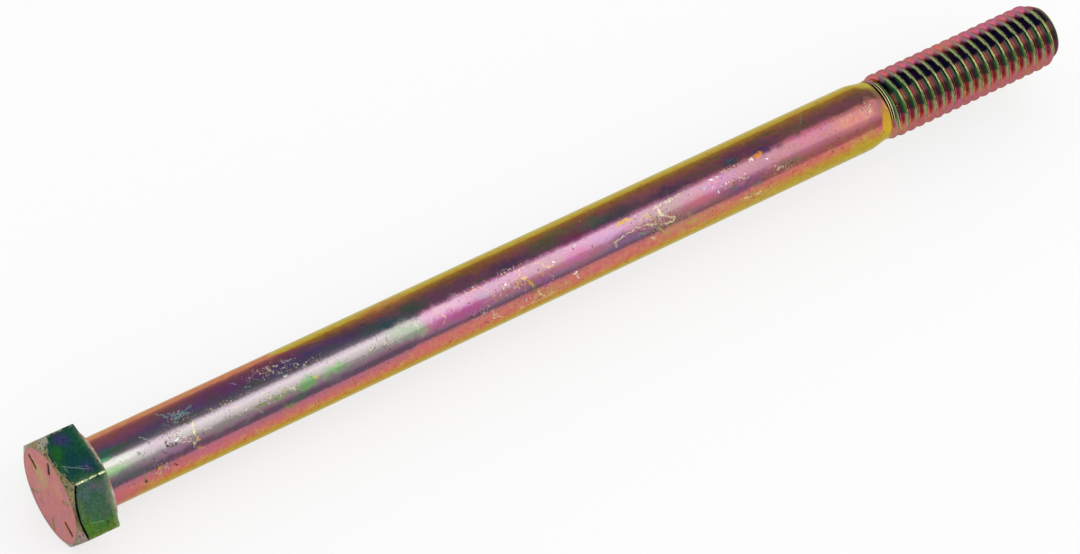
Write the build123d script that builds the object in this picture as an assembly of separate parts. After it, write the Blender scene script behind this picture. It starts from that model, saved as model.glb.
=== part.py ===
from build123d import *
import math
import os

# Hex cap screw, 3/8-16 UNC x 6 in, used as the pivot bolt of an alternator.
# One forged and thread-rolled piece of steel. It lies along X: the origin is the centre
# of the bearing face under the head, the head is on the -X side, the thread runs to +X,
# and one flat of the hexagon faces down. All sizes are millimetres.

# Head
ACROSS_FLATS = 14.0
HEAD_HEIGHT = 5.75
TOP_FACE_DIAMETER = 13.3
HEAD_CHAMFER_ANGLE = 30.0
HEX_EDGE_RADIUS = 0.35
WASHER_FACE_DIAMETER = 13.5
WASHER_FACE_HEIGHT = 0.4
UNDER_HEAD_FILLET = 0.5

# Grade marks: short radial grooves stamped into the top face
MARK_COUNT = 6
MARK_INNER_RADIUS = 3.8
MARK_OUTER_RADIUS = 5.9
MARK_WIDTH = 0.5
MARK_DEPTH = 0.25
MARK_START_ANGLE = 20.0

# Shank: a plain body, then a taper down to the neck, which is the thread's rolling blank
LENGTH_UNDER_HEAD = 152.4
BODY_DIAMETER = 9.4
NECK_DIAMETER = 8.55
NECK_TAPER_LENGTH = 3.0
NECK_LENGTH = 0.5

# Thread: 16 per inch, right-handed, from the end of the neck to the point
PITCH = 25.4 / 16
THREAD_LENGTH = 29.2
THREAD_MAJOR_DIAMETER = 9.36
THREAD_MINOR_DIAMETER = 7.64
THREAD_ANGLE = 60.0
CREST_WIDTH = PITCH / 8
FIRST_CREST_OFFSET = -0.07
RIDGE_RISE_LENGTH = 1.2
ROOT_RUN_OUT_LENGTH = PITCH
POINT_DIAMETER = 7.5
POINT_LENGTH = 1.7

# How far the buried foot of the ridge reaches into the core, so that the two fuse,
# and how far the envelope that trims its ends stands clear of the crest in between
RIDGE_ROOTING = 0.08
ENVELOPE_CLEARANCE = 0.5

# Places along the bolt
THREAD_END = LENGTH_UNDER_HEAD
THREAD_START = THREAD_END - THREAD_LENGTH
NECK_START = THREAD_START - NECK_LENGTH
BODY_END = NECK_START - NECK_TAPER_LENGTH


def radius(diameter):
    return diameter / 2


def turned(points):
    """A solid of revolution about X from (x, radius) points; the axis closes it."""
    first_x = points[0][0]
    last_x = points[-1][0]
    outline = Polyline((first_x, 0), *points, (last_x, 0), close=True)
    return revolve(make_face(outline), Axis.X, 360)


def head():
    """The hexagon with its chamfered corners, the round top face and the washer face."""
    corner = ACROSS_FLATS / math.sqrt(3)
    chamfer_reach = corner - radius(TOP_FACE_DIAMETER)
    chamfer_depth = chamfer_reach * math.tan(math.radians(HEAD_CHAMFER_ANGLE))

    hexagon = RegularPolygon(radius(ACROSS_FLATS), 6, major_radius=False)
    hexagon = fillet(hexagon.vertices(), HEX_EDGE_RADIUS)
    # This plane has its own X axis along +Y, so two corners point to the sides and a flat down
    across_bolt = Plane(origin=(-HEAD_HEIGHT, 0, 0), x_dir=(0, 1, 0), z_dir=(1, 0, 0))
    prism = extrude(across_bolt * hexagon, HEAD_HEIGHT - WASHER_FACE_HEIGHT)

    crown = turned([
        (-HEAD_HEIGHT, radius(TOP_FACE_DIAMETER)),
        (-HEAD_HEIGHT + chamfer_depth, corner),
        (0, corner),
    ])
    washer_face = turned([
        (-HEAD_HEIGHT / 2, radius(WASHER_FACE_DIAMETER)),
        (0, radius(WASHER_FACE_DIAMETER)),
    ])
    return (prism & crown) + washer_face


def grade_marks():
    """Radial grooves with round ends, sunk into the top face."""
    middle = (MARK_INNER_RADIUS + MARK_OUTER_RADIUS) / 2
    length = MARK_OUTER_RADIUS - MARK_INNER_RADIUS
    top_face = Plane(origin=(-HEAD_HEIGHT, 0, 0), x_dir=(0, 1, 0), z_dir=(1, 0, 0))
    groove = Pos(middle, 0) * SlotOverall(length, MARK_WIDTH)
    marks = []
    for index in range(MARK_COUNT):
        angle = MARK_START_ANGLE + index * 360 / MARK_COUNT
        marks.append(extrude(top_face * Rot(0, 0, angle) * groove, MARK_DEPTH))
    return marks


def shank():
    """The plain body, the neck and the core of the thread, down to the chamfered point."""
    body = radius(BODY_DIAMETER)
    neck = radius(NECK_DIAMETER)
    core = radius(THREAD_MINOR_DIAMETER)
    point = radius(POINT_DIAMETER)
    slope = POINT_LENGTH / (radius(THREAD_MAJOR_DIAMETER) - point)
    return turned([
        (-HEAD_HEIGHT / 2, body),
        (BODY_END, body),
        (NECK_START, neck),
        (THREAD_START, neck),
        (THREAD_START + ROOT_RUN_OUT_LENGTH, core),
        (THREAD_END - (core - point) * slope, core),
        (THREAD_END, point),
    ])


def thread_ridge():
    """The helical ridge, trimmed by the run-out at the neck and by the point's chamfer."""
    crest = radius(THREAD_MAJOR_DIAMETER)
    foot = radius(THREAD_MINOR_DIAMETER) - RIDGE_ROOTING
    half_crest = CREST_WIDTH / 2
    half_foot = half_crest + (crest - foot) * math.tan(math.radians(THREAD_ANGLE / 2))

    # On the +Y side the crest passes FIRST_CREST_OFFSET from the thread's start
    helix_start = THREAD_START + FIRST_CREST_OFFSET - PITCH
    turns = math.ceil(THREAD_LENGTH / PITCH) + 2
    path = Helix(PITCH, turns * PITCH, foot)
    section = make_face(Plane.XZ * Polyline(
        (foot, -half_foot),
        (crest, -half_crest),
        (crest, half_crest),
        (foot, half_foot),
        close=True,
    ))
    ridge = sweep(section, path=path, is_frenet=True)
    along_bolt = Plane(origin=(helix_start, 0, 0), x_dir=(0, 1, 0), z_dir=(1, 0, 0))
    ridge = along_bolt * ridge

    neck = radius(NECK_DIAMETER)
    point = radius(POINT_DIAMETER)
    rise_slope = RIDGE_RISE_LENGTH / (crest - neck)
    point_slope = POINT_LENGTH / (crest - point)
    clear = crest + ENVELOPE_CLEARANCE
    envelope = turned([
        (THREAD_START, neck),
        (THREAD_START + (clear - neck) * rise_slope, clear),
        (THREAD_END - (clear - point) * point_slope, clear),
        (THREAD_END, point),
    ])
    return ridge & envelope


def pivot_bolt():
    blank = head() + shank()
    seat_edge = blank.edges().filter_by(GeomType.CIRCLE).filter_by_position(Axis.X, -0.001, 0.001)
    blank = fillet(seat_edge.sort_by(SortBy.RADIUS)[0], UNDER_HEAD_FILLET)
    blank = blank - grade_marks()
    return blank + thread_ridge()


bolt = pivot_bolt()
os.makedirs("parts", exist_ok=True)
export_step(bolt, "parts/pivot_bolt.step")
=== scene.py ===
import math
import bmesh
import bpy
from mathutils import Matrix, Vector


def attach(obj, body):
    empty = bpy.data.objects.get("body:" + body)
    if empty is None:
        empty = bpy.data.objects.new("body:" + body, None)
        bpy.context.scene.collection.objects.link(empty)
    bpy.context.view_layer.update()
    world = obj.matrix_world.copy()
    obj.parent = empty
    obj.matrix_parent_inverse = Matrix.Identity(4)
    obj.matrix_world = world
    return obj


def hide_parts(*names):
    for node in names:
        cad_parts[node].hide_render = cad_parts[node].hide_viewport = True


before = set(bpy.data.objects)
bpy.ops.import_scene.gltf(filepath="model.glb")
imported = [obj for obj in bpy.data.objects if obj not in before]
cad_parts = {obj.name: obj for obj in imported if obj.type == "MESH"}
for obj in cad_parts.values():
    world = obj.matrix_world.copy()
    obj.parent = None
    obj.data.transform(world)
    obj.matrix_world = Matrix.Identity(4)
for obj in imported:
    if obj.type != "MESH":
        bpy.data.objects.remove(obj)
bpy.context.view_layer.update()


# ---------------------------------------------------------------------------
# The head
# Cold-forged hexagon head of the bolt, one piece with the shank: a stamped top
# face, a chamfer turned off its corners, six flats and a round washer face.
# ---------------------------------------------------------------------------

# Sizes are in millimetres, and the finished mesh is scaled to metres. Radii and the distance
# of the flats are from the bolt's axis, and places along it from the seat under the head.
HEAD_HEIGHT = 5.75
FLAT_DISTANCE = 7.0
HEX_EDGE_ROUNDING = 0.35
TOP_FACE_RADIUS = 6.65
CHAMFER_SLOPE = math.tan(math.radians(30))
WASHER_FACE_RADIUS = 6.75
WASHER_FACE_HEIGHT = 0.4
BODY_RADIUS = 4.7
ROUND_STEPS = 360

CORNER_CENTRE = (FLAT_DISTANCE - HEX_EDGE_ROUNDING) / math.cos(math.radians(30))
CORNER_RADIUS = CORNER_CENTRE + HEX_EDGE_ROUNDING
CHAMFER_END = -HEAD_HEIGHT + (CORNER_RADIUS - TOP_FACE_RADIUS) * CHAMFER_SLOPE

# Each grade mark: its angle in degrees and how deep its stamp went
GRADE_MARKS = [(20, 0.25), (80, 0.17), (139, 0.08), (197, 0.25), (255, 0.08), (315, 0.08)]
MARK_INNER = 4.05
MARK_OUTER = 5.65
MARK_HALF_WIDTH = 0.36
MARK_FLOOR_HALF_WIDTH = 0.17

# How far the columns of the mesh move round towards the hexagon's corners, in radians
BUNCHING = 0.1

# How wide the hexagon's edges are rubbed pale, partly wear and partly a painted glint: at the
# chamfer, at the washer face, and round its corners in radians
RUBBED_AT_CHAMFER = 0.15
RUBBED_AT_SEAT = 0.2
RUBBED_AT_CORNER = 0.035


def outline(corners):
    """Points of a turned outline from corners of (x, radius, rounding, rows to the next)."""
    places = [Vector(corner[:2]) for corner in corners]
    points = []
    for index, (_, _, rounding, rows) in enumerate(corners):
        corner = places[index]
        leaving = corner
        if rounding:
            arriving = corner + (places[index - 1] - corner).normalized() * rounding
            leaving = corner + (places[index + 1] - corner).normalized() * rounding
            for step in range(5):
                bend = step / 5
                points.append(arriving.lerp(corner, bend).lerp(corner.lerp(leaving, bend), bend))
        if index + 1 == len(corners):
            points.append(corner)
            break
        following = places[index + 1]
        back = (leaving - following).normalized() * corners[index + 1][2]
        for step in range(rows):
            points.append(leaving.lerp(following + back, step / rows))
    return points


def turn(mesh, points, steps, advance=0.0):
    """Spins an outline round the bolt's axis; advance moves it along by that much a turn."""
    chain = [mesh.verts.new((x, radius, 0)) for x, radius in points]
    edges = [mesh.edges.new(pair) for pair in zip(chain, chain[1:])]
    bmesh.ops.spin(
        mesh, geom=chain + edges, cent=(0, 0, 0), axis=(1, 0, 0), angle=math.tau,
        dvec=(advance / steps, 0, 0), steps=steps, use_merge=advance == 0,
    )
    bmesh.ops.remove_doubles(mesh, verts=mesh.verts, dist=0.0005)


def place(vert):
    """A vertex's distance along the bolt, its radius and its angle."""
    x, y, z = vert.co
    return x, math.hypot(y, z), math.atan2(z, y)


def put(vert, x, radius, angle):
    vert.co = (x, radius * math.cos(angle), radius * math.sin(angle))


def share(value, start, end):
    """How far value has gone from start to end, kept within 0 and 1."""
    return min(max((value - start) / (end - start), 0), 1)


def ease(value, start, end):
    part = share(value, start, end)
    return part * part * (3 - 2 * part)


def from_corner(angle):
    """How far round an angle is from the nearest corner of the hexagon."""
    return abs((angle + math.pi / 6) % (math.pi / 3) - math.pi / 6)


def hexagon_radius(angle):
    """Distance from the axis to the side of the hexagon, corners rounded, at an angle."""
    off_corner = from_corner(angle)
    rounded_until = math.atan2(
        HEX_EDGE_ROUNDING / 2, CORNER_CENTRE + HEX_EDGE_ROUNDING * math.cos(math.pi / 6)
    )
    if off_corner > rounded_until:
        return FLAT_DISTANCE / math.cos(math.pi / 6 - off_corner)
    off_centre = CORNER_CENTRE * math.sin(off_corner)
    return CORNER_CENTRE * math.cos(off_corner) + math.sqrt(HEX_EDGE_ROUNDING**2 - off_centre**2)


bolt_mesh = bmesh.new()
glint_and_wear_layer = bolt_mesh.verts.layers.float.new("edge_wear_and_glint")
turn(bolt_mesh, outline([
    (-HEAD_HEIGHT, 0, 0, 3),
    (-HEAD_HEIGHT, 3.5, 0, 23),
    (-HEAD_HEIGHT, 6.2, 0, 2),
    (-HEAD_HEIGHT, TOP_FACE_RADIUS, 0.15, 5),
    (CHAMFER_END, CORNER_RADIUS, 0.14, 1),
    (CHAMFER_END + 0.3, CORNER_RADIUS, 0, 5),
    (-WASHER_FACE_HEIGHT - 0.4, CORNER_RADIUS, 0, 1),
    (-WASHER_FACE_HEIGHT, CORNER_RADIUS, 0.22, 2),
    (-WASHER_FACE_HEIGHT, WASHER_FACE_RADIUS, 0.05, 1),
    (0, WASHER_FACE_RADIUS, 0.15, 1),
    (0, 6.4, 0, 3),
    (0, 5.25, 0, 1),
]), ROUND_STEPS)

# The seven surfaces, in the order in which the plating's finishes are made further down
TOP_FACE, CHAMFER, FLATS, WASHER_FACE, BODY, THREAD, POINT = range(7)
for face in bolt_mesh.faces:
    middle = face.calc_center_median()
    if middle.x > -WASHER_FACE_HEIGHT - 0.01:
        face.material_index = WASHER_FACE
    elif math.hypot(middle.y, middle.z) < TOP_FACE_RADIUS - 0.03:
        face.material_index = TOP_FACE
    elif middle.x < CHAMFER_END - 0.02:
        face.material_index = CHAMFER
    else:
        face.material_index = FLATS

# The lathe's round blank is pressed to the hexagon: columns bunch towards its corners,
# the sides move in to the flats, and the chamfer's edge follows them down its cone
full = CORNER_RADIUS - 0.2
for vert in bolt_mesh.verts:
    x, radius, angle = place(vert)
    angle -= BUNCHING * math.sin(6 * angle)
    press = hexagon_radius(angle) - CORNER_RADIUS
    front = x < -HEAD_HEIGHT / 2
    reach = share(radius, TOP_FACE_RADIUS if front else WASHER_FACE_RADIUS, full)
    slide = reach if front and radius < full else 1 - share(x, CHAMFER_END + 0.2, -0.7)
    corner = 1 - share(from_corner(angle), 0.01, RUBBED_AT_CORNER)
    at_chamfer = abs(x - CHAMFER_END) < RUBBED_AT_CHAMFER
    at_seat = x > -WASHER_FACE_HEIGHT - RUBBED_AT_SEAT
    if radius > full and (at_chamfer or at_seat):
        vert[glint_and_wear_layer] = 1
    elif radius > full and CHAMFER_END < x < -WASHER_FACE_HEIGHT:
        vert[glint_and_wear_layer] = corner
    put(vert, x + press * reach * slide * CHAMFER_SLOPE, radius + press * reach, angle)

# The grade marks are struck into the top face, with sloping sides round a flat floor
for vert in bolt_mesh.verts:
    x, radius, angle = place(vert)
    if x > -HEAD_HEIGHT + 0.01:
        continue
    for mark_angle, depth in GRADE_MARKS:
        turned = angle - math.radians(mark_angle)
        along = radius * math.cos(turned)
        across = radius * math.sin(turned)
        beyond = along - min(max(along, MARK_INNER), MARK_OUTER)
        struck = 1 - ease(math.hypot(beyond, across), MARK_FLOOR_HALF_WIDTH, MARK_HALF_WIDTH)
        vert.co.x += depth * struck


# ---------------------------------------------------------------------------
# The plain body and the neck
# Drawn steel wire, 9.4 mm, left at full size for most of the length; it then
# tapers down to the thinner neck on which the thread was rolled.
# ---------------------------------------------------------------------------

UNDER_HEAD_FILLET = 0.55
TAPER_START = 119.7
TAPER_END = 122.9
NECK_RADIUS = 4.275
NECK_END = 122.75

body_mesh = bmesh.new()
body_mesh.verts.layers.float.new("edge_wear_and_glint")
turn(body_mesh, outline([
    (0, 5.25, 0, 1),
    (0, BODY_RADIUS, UNDER_HEAD_FILLET, 12),
    (TAPER_START, BODY_RADIUS, 0, 14),
    (NECK_END - 0.2, BODY_RADIUS, 0, 1),
    (NECK_END, BODY_RADIUS, 0, 1),
]), ROUND_STEPS)
for vert in body_mesh.verts:
    x, radius, angle = place(vert)
    angle -= BUNCHING * math.sin(6 * angle)
    put(vert, x, radius - (BODY_RADIUS - NECK_RADIUS) * ease(x, TAPER_START, TAPER_END), angle)
for face in body_mesh.faces:
    face.material_index = BODY


# ---------------------------------------------------------------------------
# The rolled thread
# 16 turns an inch, right-handed, rolled between dies, so crests and roots are
# rounded. It runs out at the neck and ends in a chamfered, slightly dished point.
# ---------------------------------------------------------------------------

PITCH = 25.4 / 16
CREST_RADIUS = 4.68
ROOT_RADIUS = 3.82
CREST_AT = 123.13
CREST_HALF_WIDTH = 0.15
RIDGES = range(-2, 20)
THREAD_STEPS = 120
CUT_IN_START = 123.1
CUT_IN_END = 124.7
BOLT_END = 152.4
POINT_RADIUS = 3.75
POINT_LENGTH = 1.7
POINT_EDGE_SOFTNESS = 0.1

# The dished end, ring by ring: its share of the point's radius and its depth
DISH = ((0.93, 0.0), (0.72, 0.12), (0.45, 0.22), (0.2, 0.25))

root_edge = CREST_HALF_WIDTH + (CREST_RADIUS - ROOT_RADIUS) * math.tan(math.radians(30))
thread_mesh = bmesh.new()
thread_mesh.verts.layers.float.new("edge_wear_and_glint")
corners = []
for ridge in RIDGES:
    crest = CREST_AT + ridge * PITCH
    corners += [
        (crest - CREST_HALF_WIDTH, CREST_RADIUS, 0.14, 1),
        (crest + CREST_HALF_WIDTH, CREST_RADIUS, 0.14, 2),
        (crest + root_edge, ROOT_RADIUS, 0.16, 1),
        (crest + PITCH - root_edge, ROOT_RADIUS, 0.16, 2),
    ]
first_x, first_radius, _, rows = corners[0]
corners[0] = (first_x, first_radius, 0, rows)
corners.append((CREST_AT + RIDGES.stop * PITCH - CREST_HALF_WIDTH, CREST_RADIUS, 0, 0))
turn(thread_mesh, outline(corners), THREAD_STEPS, advance=PITCH)

# Both ends are cut off square. The ridge then rises out of the neck, and a soft chamfer
# brings it down to the point.
for cut, side in ((NECK_END + 0.15, -1), (BOLT_END, 1)):
    bmesh.ops.bisect_plane(
        thread_mesh, geom=thread_mesh.verts[:] + thread_mesh.edges[:] + thread_mesh.faces[:],
        dist=0.0005, plane_co=(cut, 0, 0), plane_no=(side, 0, 0), clear_outer=True,
    )
for vert in thread_mesh.verts:
    x, radius, angle = place(vert)
    radius = NECK_RADIUS + (radius - NECK_RADIUS) * ease(x, CUT_IN_START, CUT_IN_END)
    chamfer = POINT_RADIUS + (BOLT_END - x) * (CREST_RADIUS - POINT_RADIUS) / POINT_LENGTH
    over = radius - chamfer
    radius -= (over + math.hypot(over, POINT_EDGE_SOFTNESS)) / 2
    put(vert, x, radius, angle)
for face in thread_mesh.faces:
    face.material_index = THREAD

# The end of the wire is flat, with a shallow dish pushed in by the rolling
rim = [edge for edge in thread_mesh.edges if edge.is_boundary and edge.verts[0].co.x > BOLT_END - 0.1]
for shrink, dip in DISH:
    grown = bmesh.ops.extrude_edge_only(thread_mesh, edges=rim)["geom"]
    rim = [part for part in grown if isinstance(part, bmesh.types.BMEdge)]
    for face in [part for part in grown if isinstance(part, bmesh.types.BMFace)]:
        face.material_index = POINT
    for vert in {vert for edge in rim for vert in edge.verts}:
        _, _, angle = place(vert)
        put(vert, BOLT_END - dip, POINT_RADIUS * shrink, angle)
middle = bmesh.ops.contextual_create(thread_mesh, geom=rim)["faces"]
for face in middle:
    face.material_index = POINT
bmesh.ops.poke(thread_mesh, faces=middle)


# The three lengths are one piece of steel: they are joined, and the neck runs into the thread
for part in (body_mesh, thread_mesh):
    carrier = bpy.data.meshes.new("length")
    part.to_mesh(carrier)
    part.free()
    bolt_mesh.from_mesh(carrier)
    bpy.data.meshes.remove(carrier)
bmesh.ops.remove_doubles(bolt_mesh, verts=bolt_mesh.verts, dist=0.001)
open_edges = [edge for edge in bolt_mesh.edges if edge.is_boundary]
bridged = bmesh.ops.bridge_loops(bolt_mesh, edges=open_edges)
for face in bridged["faces"]:
    face.material_index = BODY
bmesh.ops.recalc_face_normals(bolt_mesh, faces=bolt_mesh.faces)
for face in bolt_mesh.faces:
    face.smooth = True

# So far in millimetres, the mesh is brought to the metres of the frame
bmesh.ops.scale(bolt_mesh, vec=(0.001, 0.001, 0.001), verts=bolt_mesh.verts)
bolt_data = bpy.data.meshes.new("pivot_bolt_forging")
bolt_mesh.to_mesh(bolt_data)
bolt_mesh.free()
bolt = bpy.data.objects.new("pivot_bolt_forging", bolt_data)
bpy.context.scene.collection.objects.link(bolt)


# ---------------------------------------------------------------------------
# The plating
# Bright zinc with a yellow chromate passivation: a clear film whose thickness
# drifts, so the metal under it shows gold, rose, plum, violet and green. Painted
# highlights, shade and reflections are laid into these colours as well.
# ---------------------------------------------------------------------------

# Colours of the film, and of the highlights and shade painted into it, named for what they look like on
# this bolt
FILM = {
    "straw": "bdb468", "gold": "b9a544", "ochre": "b28f3a", "bronze": "8c652b", "umber": "7a5038",
    "brown": "7a6454", "wine": "6c4048", "plum": "614052", "violet": "503c60", "slate": "4c4a58",
    "smoke": "6e606c", "silver": "bcb4b6", "pewter": "a8a0a0", "ash": "928a88", "mauve": "8c6a7c",
    "dusk": "604a5a", "orchid": "be92aa", "pink": "b07e94", "raspberry": "b06c7c", "rose": "b86c70",
    "coral": "ca7468", "apricot": "c88058", "honey": "bc9038", "salmon": "c27862",
    "blush": "a87478", "lilac": "b19ead", "pearl": "beb4b6", "brick": "985450", "clay": "a0766e",
    "fuchsia": "a05c84", "candy": "d87284", "bordeaux": "18050f", "aubergine": "59333b",
    "damson": "523454", "indigo": "45415a", "spruce": "314d49", "bottle": "315238",
    "forest": "34441c", "linen": "b4a488", "mulberry": "90616a", "heather": "83617b",
    "iris": "6c6179", "lagoon": "556d6e", "fern": "4a6d55", "navy": "1c143c", "ink": "0e120e",
    "moss": "5c6c3c", "sage": "8e9c70", "lime": "b8ac5c", "celadon": "a2a876",
    "champagne": "f0e4a0", "rust": "8c5830", "garnet": "985248", "grape": "6a4a64",
}


def colour(hex_code):
    """A linear colour, with alpha, from an sRGB hex code."""
    parts = [int(hex_code[at:at + 2], 16) / 255 for at in (0, 2, 4)]
    return [p / 12.92 if p <= 0.04045 else ((p + 0.055) / 1.055) ** 2.4 for p in parts] + [1.0]


def feed(tree, node, sockets):
    """Gives a node's sockets their values or links."""
    for key, value in sockets.items():
        if isinstance(value, bpy.types.NodeSocket):
            tree.links.new(value, node.inputs[key])
        else:
            node.inputs[key].default_value = value


def add(tree, kind, sockets, out=0, stops=None, **settings):
    """Adds a node with its settings, its values or links, and a ramp's stops; gives one output."""
    node = tree.nodes.new(kind)
    for name, value in settings.items():
        setattr(node, name, value)
    feed(tree, node, sockets)
    if stops:
        marks = node.color_ramp.elements
        marks[0].position, marks[1].position = stops[0][0], stops[-1][0]
        for position, _ in stops[1:-1]:
            marks.new(position)
        for mark, (_, film) in zip(marks, stops):
            mark.color = colour(FILM.get(film, film))
    return node.outputs[out]


def new_finish(name):
    """A plated metal: its tree, its shader, and three measures of the places on the bolt.

    These are the place itself and the distance along, both in mm, so that a noise of scale
    2.5 has a grain of 0.4 mm, and the turn round the bolt: 0 on its far side, a quarter at
    the top and a half on its near side.
    """
    material = bpy.data.materials.new(name)
    material.use_nodes = True
    tree = material.node_tree
    shader = tree.nodes["Principled BSDF"]
    shader.inputs["Metallic"].default_value = 1.0
    spot = add(tree, "ShaderNodeTexCoord", {}, out="Object")
    spot = add(tree, "ShaderNodeVectorMath", {0: spot, "Scale": 1000.0}, operation="SCALE")
    along = add(tree, "ShaderNodeSeparateXYZ", {0: spot})
    y, z = along.node.outputs[1], along.node.outputs[2]
    turned = add(tree, "ShaderNodeMath", {0: z, 1: y}, operation="ARCTAN2")
    turned = add(tree, "ShaderNodeMath", {0: turned, 1: math.tau}, operation="DIVIDE")
    turned = add(tree, "ShaderNodeMath", {0: turned}, operation="FRACT")
    bolt.data.materials.append(material)
    return tree, shader, spot, along, turned


def on_bolt(x, angle, radius=BODY_RADIUS):
    """A point on the surface, in mm, from its place along, its angle in degrees and its radius."""
    return x, radius * math.cos(math.radians(angle)), radius * math.sin(math.radians(angle))


def patch(tree, spot, point, half_length, half_width, edge):
    """An oval on the surface, 0 outside it and 1 within the share of it that edge gives."""
    away = add(tree, "ShaderNodeVectorMath", {0: spot, 1: point}, operation="SUBTRACT")
    away = add(tree, "ShaderNodeVectorMath", {
        0: away, 1: (1 / half_length, 1 / half_width, 1 / half_width),
    }, operation="MULTIPLY")
    away = add(tree, "ShaderNodeVectorMath", {0: away}, out="Value", operation="LENGTH")
    return add(tree, "ShaderNodeMapRange", {
        "Value": away, "From Min": 1.0, "From Max": edge,
    }, interpolation_type="SMOOTHSTEP")


def roughened(tree, spot, scale, amount):
    """The places moved about by noise, so that what is drawn from them gets ragged edges."""
    noise = add(tree, "ShaderNodeTexNoise", {"Vector": spot, "Scale": scale, "Detail": 4.0}, out="Color")
    noise = add(tree, "ShaderNodeVectorMath", {0: noise, 1: (0.5, 0.5, 0.5)}, operation="SUBTRACT")
    noise = add(tree, "ShaderNodeVectorMath", {0: noise, "Scale": amount}, operation="SCALE")
    return add(tree, "ShaderNodeVectorMath", {0: spot, 1: noise}, operation="ADD")


def line_mask(tree, spot, points, half_width):
    """A line through points on the surface, for scratches and painted shade lines, 1 on its line and 0
    beyond its width.
    """
    nearest = None
    for start, end in zip(points, points[1:]):
        run = Vector(end) - Vector(start)
        away = add(tree, "ShaderNodeVectorMath", {0: spot, 1: start}, operation="SUBTRACT")
        rate = run / run.length_squared
        part = add(tree, "ShaderNodeVectorMath", {0: away, 1: rate}, out="Value", operation="DOT_PRODUCT")
        part = add(tree, "ShaderNodeMath", {0: part, 1: 0.0}, operation="MAXIMUM")
        part = add(tree, "ShaderNodeMath", {0: part, 1: 1.0}, operation="MINIMUM")
        foot = add(tree, "ShaderNodeVectorMath", {0: run, "Scale": part}, operation="SCALE")
        away = add(tree, "ShaderNodeVectorMath", {0: away, 1: foot}, out="Value", operation="DISTANCE")
        if nearest:
            away = add(tree, "ShaderNodeMath", {0: nearest, 1: away}, operation="MINIMUM")
        nearest = away
    return add(tree, "ShaderNodeMapRange", {
        "Value": nearest, "From Min": half_width, "From Max": half_width * 0.4,
    }, interpolation_type="SMOOTHSTEP")


def tint(tree, mask, film, over, strength=1.0):
    """Lays a colour or another film over a film where the mask says."""
    if strength < 1:
        mask = add(tree, "ShaderNodeMath", {0: mask, 1: strength}, operation="MULTIPLY")
    if isinstance(over, str):
        over = colour(over)
    return add(tree, "ShaderNodeMix", {0: mask, 6: film, 7: over}, out=2, data_type="RGBA")


def lay_stains_and_sheen(tree, spot, film, edge, ovals):
    """Lays ovals over a film, for film tints, stains and painted light, each by its place on the bolt, half
    sizes, colour and strength.
    """
    for *point, length, width, hex_code, strength in ovals:
        oval = patch(tree, spot, on_bolt(*point), length, width, edge)
        film = tint(tree, oval, film, hex_code, strength)
    return film


# Forged top face: an even salmon-pink film, in clouds about 2.5 mm across, over a pressed
# surface with a grain of 0.4 mm. Gold and apricot drift over it, and its rim is browner.
# The grade marks hold olive chromate with painted shade over it, and a near-black painted shade fills them
# where the stamp went deepest.
tree, shader, spot, along, _ = new_finish("zinc_plate_on_forged_face")
cloud = add(tree, "ShaderNodeTexNoise", {"Vector": spot, "Scale": 0.4, "Detail": 5.0})
film = add(tree, "ShaderNodeValToRGB", {0: cloud}, stops=[
    (0.32, "9c4656"), (0.44, "b45458"), (0.54, "bc5c4e"), (0.68, "a84850"),
])
ragged = roughened(tree, spot, 0.9, 2.4)
for y, z, half_size, edge, hex_code, strength in (
    (2.5, 1.3, 2.3, 0.4, "a88236", 0.9), (2.6, -1.4, 1.2, 0.2, "b08050", 0.6),
    (-1.6, 3.4, 2.0, 0.1, "c07c4c", 0.5), (-2.4, -3.4, 2.2, 0.1, "a8586c", 0.6),
):
    drift = patch(tree, ragged, (-HEAD_HEIGHT, y, z), 3.0, half_size, edge)
    film = tint(tree, drift, film, hex_code, strength)
rim = add(tree, "ShaderNodeVectorMath", {0: spot, 1: (0, 1, 1)}, operation="MULTIPLY")
rim = add(tree, "ShaderNodeVectorMath", {0: rim}, out="Value", operation="LENGTH")
rim = add(tree, "ShaderNodeMapRange", {"Value": rim, "From Min": 6.25, "From Max": 6.6})
film = tint(tree, rim, film, "74543c", 0.85)
grain = add(tree, "ShaderNodeTexNoise", {"Vector": spot, "Scale": 2.6, "Detail": 4.0, "Roughness": 0.65})
shade = add(tree, "ShaderNodeMapRange", {
    "Value": grain, "From Min": 0.3, "From Max": 0.7, "To Min": 0.8, "To Max": 1.2,
})
film = add(tree, "ShaderNodeVectorMath", {0: film, "Scale": shade}, operation="SCALE")
speck = add(tree, "ShaderNodeMapRange", {"Value": grain, "From Min": 0.33, "From Max": 0.3})
film = tint(tree, speck, film, "5a4238", 0.6)
# Olive in the marks: chromate with painted shade
struck = add(tree, "ShaderNodeMapRange", {
    "Value": along, "From Min": -HEAD_HEIGHT + 0.005, "From Max": -HEAD_HEIGHT + 0.03,
})
film = tint(tree, struck, film, "806c38", 0.85)
# Painted shade: the floors of the deeper marks are near black
struck = add(tree, "ShaderNodeMapRange", {
    "Value": along, "From Min": -HEAD_HEIGHT + 0.082, "From Max": -HEAD_HEIGHT + 0.1,
})
film = tint(tree, struck, film, "080706")
bump = add(tree, "ShaderNodeBump", {"Height": grain, "Strength": 0.25, "Distance": 0.00006})
feed(tree, shader, {"Base Color": film, "Roughness": 0.3, "Normal": bump})

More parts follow.
